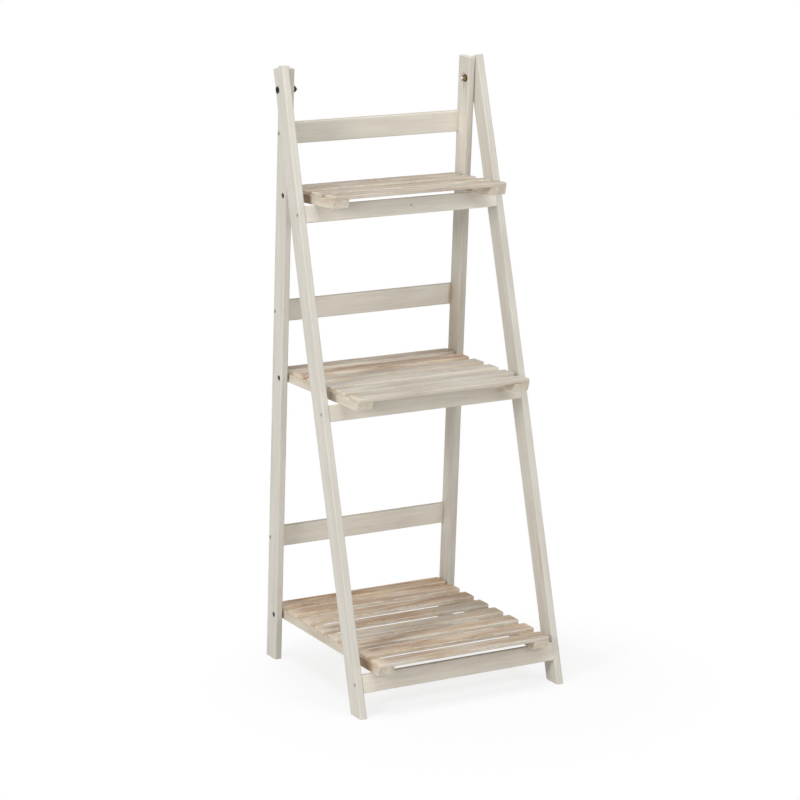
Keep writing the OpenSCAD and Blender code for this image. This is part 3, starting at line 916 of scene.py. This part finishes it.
def hex_nut(box, _turn):
    """A hexagon nut along X with both faces chamfered. Both nuts sit alike."""
    low, high = box
    flat = min(high[1] - low[1], high[2] - low[2]) / 2
    y, z = (low[1] + high[1]) / 2, (low[2] + high[2]) / 2
    last = len(NUT_SHARES) - 1
    rings = []
    for index, share in enumerate(NUT_SHARES):
        x = low[0] + share * length_of(box)
        rise = min(share, 1 - share) * length_of(box) / math.tan(NUT_CHAMFER)
        ring = []
        for i in range(NUT_POINTS):
            angle = math.tau * i / NUT_POINTS
            off_flat = (angle + NUT_TURN) % math.radians(60) - math.radians(30)
            r = min(flat / math.cos(off_flat), 0.98 * flat + rise)
            if index in (0, last):
                r *= NUT_BORE
            ring.append(Vector((x, y + r * math.cos(angle), z + r * math.sin(angle))) * MM)
        rings.append(ring)
    return loft(rings)


# The bolts' heads are flatter here than the solids' domes, as the photograph has them
BOLT_HEAD_D, BOLT_HEAD_H, BOLT_CROWN, BOLT_R = 12, 3.5, 1.3, 3.0
BOLT_RECESS = 13
BOLT_THREAD, BOLT_PITCH, BOLT_CUT = 12, 1.0, 0.42


def bolt(box, turn):
    length = length_of(box)
    rows = dome(BOLT_HEAD_D, BOLT_HEAD_H, BOLT_CROWN) + [(BOLT_HEAD_H, BOLT_R)]
    rows += threaded(length - BOLT_THREAD, length - 0.6, BOLT_R)
    rows += [(length - 0.3, BOLT_R - 0.3), (length, BOLT_R - 0.6), (length, 1.0)]
    thread = (length - BOLT_THREAD, BOLT_PITCH, BOLT_CUT)
    return turned(box, rows, cross_recess(BOLT_RECESS, turn), thread)


PIN_HEAD_D, PIN_HEAD_H, PIN_CROWN, PIN_R = 8.5, 2.4, 1.8, 2.5


def pin(box, turn):
    length = length_of(box)
    rows = dome(PIN_HEAD_D, PIN_HEAD_H, PIN_CROWN, 12) + [(PIN_HEAD_H, PIN_R)]
    rows += [(length - 0.6, PIN_R), (length, PIN_R - 0.6), (length, 0.8)]
    unthreaded = (length, 1.0, 0.0)
    return turned(box, rows, cross_recess(PIN_HEAD_D, turn), unthreaded)


SCREW_HEAD_R, SCREW_HEAD_H, SCREW_R = 3.5, 2.6, 1.75
SCREW_CROWN = 0.12
SCREW_FROM, SCREW_TO, SCREW_PITCH, SCREW_CUT = 8, 34, 1.8, 0.5
SCREW_POINT = [(37, 1.0), (39.9, 0.12)]


def wood_screw(box, turn):
    shares = [i / 10 for i in range(1, 11)]
    rows = [(SCREW_CROWN * share**4, SCREW_HEAD_R * share) for share in shares]
    rows += [(0.25, SCREW_HEAD_R), (SCREW_HEAD_H, SCREW_R)]
    rows += threaded(SCREW_FROM, SCREW_TO, SCREW_R, 0.4) + SCREW_POINT
    thread = (SCREW_FROM, SCREW_PITCH, SCREW_CUT)
    return turned(box, rows, cross_recess(2 * SCREW_HEAD_R, turn), thread)


# Node, shape, body, material and record slot of each kind of fastener
FASTENERS = [
    ("pivot_bolts", bolt, "rear_frame", DARK_STEEL, "dark_steel"),
    ("pivot_nuts", hex_nut, "rear_frame", NUT_STEEL, "nut_steel"),
    ("rung_screws", wood_screw, "front_frame", WASHED_STEEL, "screw_steel"),
    ("rail_screws", wood_screw, "rear_frame", SMEARED_STEEL, "screw_steel"),
] + [
    ("shelf_screws_" + level, pin, level + "_shelf", DARK_STEEL, "dark_steel")
    for level in SLATS
]
BRIGHT_TIP = 3.4 * MM


def second_material(piece, skin, chosen):
    """Gives the faces that are chosen by their centre another material."""
    piece.data.materials.append(skin)
    for face in piece.data.polygons:
        face.material_index = 1 if chosen(face.center) else 0


for node, make, body, skin, slot in FASTENERS:
    skins = [make(box, 0.4 + 1.1 * i) for i, box in enumerate(islands(node))]
    piece = make_piece("turned_" + node, skins, 35)
    piece.data.materials.append(skin)
    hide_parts(node)
    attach(piece, body)
    if node == "pivot_bolts":
        tip = min(abs(v.co.x) for v in piece.data.vertices) + BRIGHT_TIP
        second_material(piece, BRIGHT_STEEL, lambda centre: abs(centre.x) < tip)
    if node == "pivot_nuts":
        # Painted shade: the left nut, which sits in the legs' shade, gets the dark steel
        second_material(piece, DARK_STEEL, lambda centre: centre.x < 0)


# ---- brads that nail the slats to the cleats ----------------------------------------
# Height above the wood and radius, from below upwards
BRAD_PROFILE = ((-0.6, 0.6), (0.02, 0.8), (0.1, 0.62), (0.14, 0.3))
BRAD_POINTS = 12


def brad(board, u):
    """One brad in the top of a slat, at a distance from the slat's middle."""
    top = board.half[2] / MM
    rings = []
    for height, radius in BRAD_PROFILE:
        ring = []
        for k in range(BRAD_POINTS):
            angle = math.tau * k / BRAD_POINTS
            along, across = u + radius * math.cos(angle), radius * math.sin(angle)
            ring.append(board.place(along * MM, across * MM, (top + height) * MM))
        rings.append(ring)
    return loft(rings)


for level, count in SLATS.items():
    skins = [
        brad(BOARDS[f"slat_{level}_{number}"], side * BRAD_AT + offset)
        for number in range(1, count + 1)
        for side in (-1, 1)
        for offset in (-BRAD_SPACING / 2, BRAD_SPACING / 2)
    ]
    piece = make_piece("brads_" + level, skins, 40)
    piece.data.materials.append(SCREW_STEEL)
    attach(piece, level + "_shelf")


# ---- floor, backdrop and light --------------------------------------------------------
FLOOR_SIZE = 14.0
PAPER = srgb(238, 238, 239)
# The floor's shadow shows fully round this point, and fades out between two radii
SHADE_MIDDLE = (0.04, -0.12, 0)
SHADE_FULL, SHADE_NONE = 0.24, 0.5
SHADE_LIFT = 0.79
AMBIENT = (1.0, 0.998, 0.992, 1)
AMBIENT_STRENGTH = 0.30
WHITE = (1, 1, 1, 1)


def white_behind(n, plain, lift, closure):
    """Mixes a plain closure with white that only the view and reflections see."""
    path = n.add("ShaderNodeLightPath").outputs
    seen = n.math("MAXIMUM", path["Is Camera Ray"], path["Is Glossy Ray"])
    seen = n.math("MAXIMUM", seen, path["Is Transmission Ray"])
    mixer = n.add("ShaderNodeMixShader")
    n.put(mixer.inputs[0], n.times(seen, lift))
    n.put(mixer.inputs[1], plain)
    n.put(mixer.inputs[2], closure)
    return mixer.outputs[0]


def set_glow(n, node, color, strength):
    """Sets an emission's or a background's light, and returns its closure."""
    n.put(node.inputs["Color"], color)
    n.put(node.inputs["Strength"], strength)
    return node.outputs[0]


bpy.ops.mesh.primitive_plane_add(size=FLOOR_SIZE)
floor = bpy.context.active_object
floor.name = "studio_floor"
floor_skin, n, principled = new_material("studio_floor")
n.tree.nodes.remove(principled)
paper = n.add("ShaderNodeBsdfDiffuse")
n.put(paper.inputs["Color"], PAPER)
place = n.add("ShaderNodeTexCoord").outputs["Object"]
away = n.vector("LENGTH", n.vector("SUBTRACT", place, SHADE_MIDDLE))
lift = n.ramp(away, SHADE_FULL, SHADE_NONE, SHADE_LIFT, 1.0)
glow = set_glow(n, n.add("ShaderNodeEmission"), WHITE, 1.0)
n.put(
    n.tree.nodes["Material Output"].inputs["Surface"],
    white_behind(n, paper.outputs[0], lift, glow),
)
floor.data.materials.append(floor_skin)

world = bpy.data.worlds.new("studio")
bpy.context.scene.world = world
world.use_nodes = True
n = Nodes(world.node_tree)
ambient = set_glow(n, n.tree.nodes["Background"], AMBIENT, AMBIENT_STRENGTH)
backdrop = set_glow(n, n.add("ShaderNodeBackground"), WHITE, 1.0)
n.put(
    n.tree.nodes["World Output"].inputs["Surface"],
    white_behind(n, ambient, 1.0, backdrop),
)


def softbox(name, place, aim, width, height, power):
    """A rectangular lamp in metres and watts that faces a point."""
    light = bpy.data.lights.new(name, "AREA")
    light.shape = "RECTANGLE"
    light.size = width
    light.size_y = height
    light.energy = power
    lamp = bpy.data.objects.new(name, light)
    bpy.context.scene.collection.objects.link(lamp)
    lamp.location = place
    lamp.rotation_mode = "QUATERNION"
    lamp.rotation_quaternion = (Vector(aim) - Vector(place)).to_track_quat("-Z", "Y")


softbox("top_box", (-0.4, -0.4, 4.6), (0, 0, 0.5), 2.6, 2.6, 116)
softbox("key_box", (-3.4, -1.4, 1.9), (0, 0, 0.6), 0.8, 1.1, 59)
softbox("front_box", (0.8, -2.2, 1.5), (0, 0, 0.6), 0.9, 0.9, 12)

# ---- camera ------------------------------------------------------------------------
# Solved from the photograph's own edges; the picture is 800 pixels wide
PICTURE = 800
FOCAL_PIXELS = 2931.67
SENSOR = 36.0
CAMERA_PLACE = Vector((-2.44022, -4.34903, 1.67974))
CAMERA_YAW = -0.507625
CAMERA_PITCH = -0.233168
CAMERA_ROLL = 0.004992

ahead = Vector(
    (
        -math.sin(CAMERA_YAW) * math.cos(CAMERA_PITCH),
        math.cos(CAMERA_YAW) * math.cos(CAMERA_PITCH),
        math.sin(CAMERA_PITCH),
    )
)
level_right = ahead.cross(Vector((0, 0, 1))).normalized()
level_up = level_right.cross(ahead)
right = math.cos(CAMERA_ROLL) * level_right + math.sin(CAMERA_ROLL) * level_up
above = math.cos(CAMERA_ROLL) * level_up - math.sin(CAMERA_ROLL) * level_right
camera_data = bpy.data.cameras.new("camera")
camera_data.sensor_width = SENSOR
camera_data.lens = FOCAL_PIXELS / PICTURE * SENSOR
camera = bpy.data.objects.new("camera", camera_data)
bpy.context.scene.collection.objects.link(camera)
camera.matrix_world = (
    Matrix.Translation(CAMERA_PLACE) @ Matrix((right, above, -ahead)).transposed().to_4x4()
)
bpy.context.scene.camera = camera
bpy.context.scene.view_settings.view_transform = "Standard"
